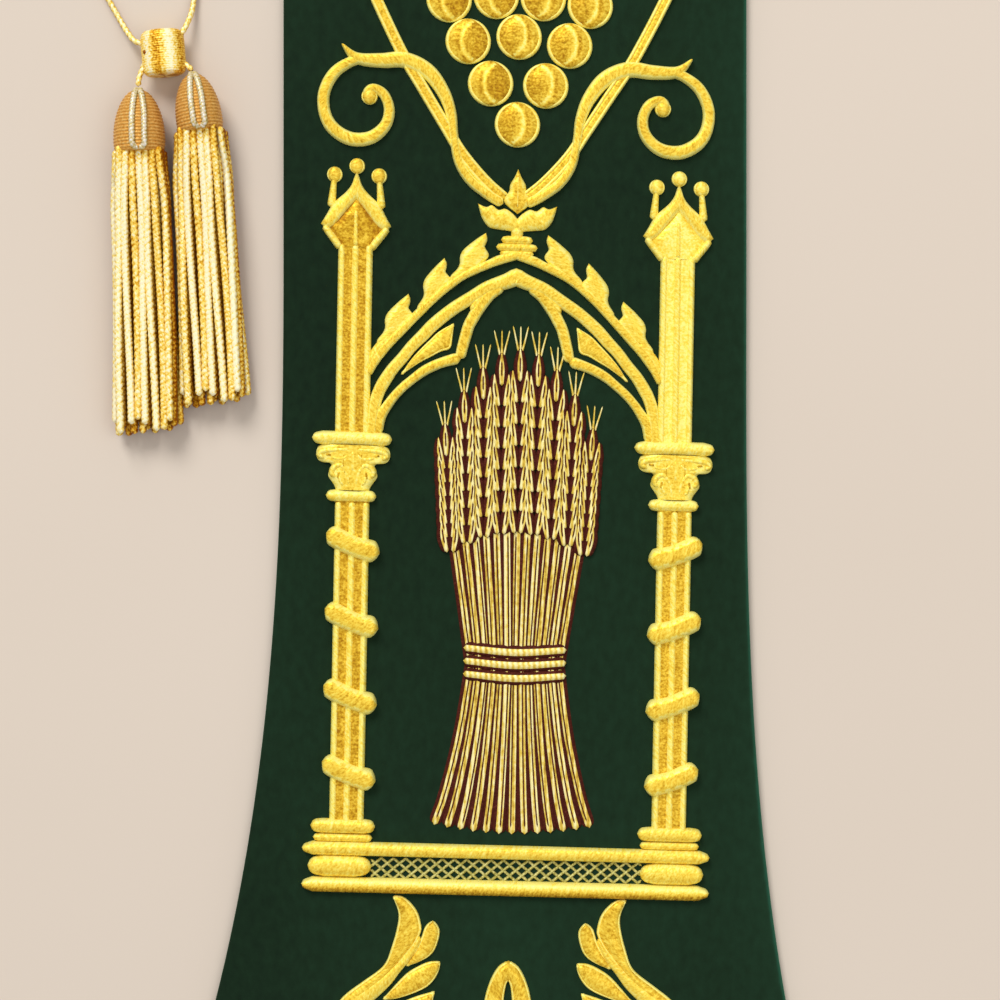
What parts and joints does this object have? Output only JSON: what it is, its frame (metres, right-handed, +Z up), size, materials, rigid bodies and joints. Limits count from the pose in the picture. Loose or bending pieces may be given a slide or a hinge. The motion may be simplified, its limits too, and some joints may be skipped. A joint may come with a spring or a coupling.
{
  "type": "clerical stole",
  "caption": "Clerical stole of green velvet laid flat, with flared ends, raised gold embroidery of vines, grapes and a gothic arch, and a front tie cord with slider and tassels.",
  "frame": {"origin": "middle of the laid-out stole's outline, on its underside", "axes": "+X towards the wearer's left-hand band as seen from above, +Y from the hems to the back of the neck, +Z up out of the embroidered face"},
  "size_m": [0.4152, 1.2424, 0.0125],
  "materials": {
    "green_velvet": "deep green velvet pile with raised gold satin-stitch embroidery",
    "gold_cord": "twisted gold metallic thread"
  },
  "bodies": {
    "root": {"stole_right": "green_velvet", "stole_left": "green_velvet", "cord_right": "gold_cord", "cord_left": "gold_cord", "drop_right": "gold_cord", "drop_left": "gold_cord", "slider": "gold_cord", "tassel_right": "gold_cord", "tassel_left": "gold_cord"}
  },
  "joints": []
}
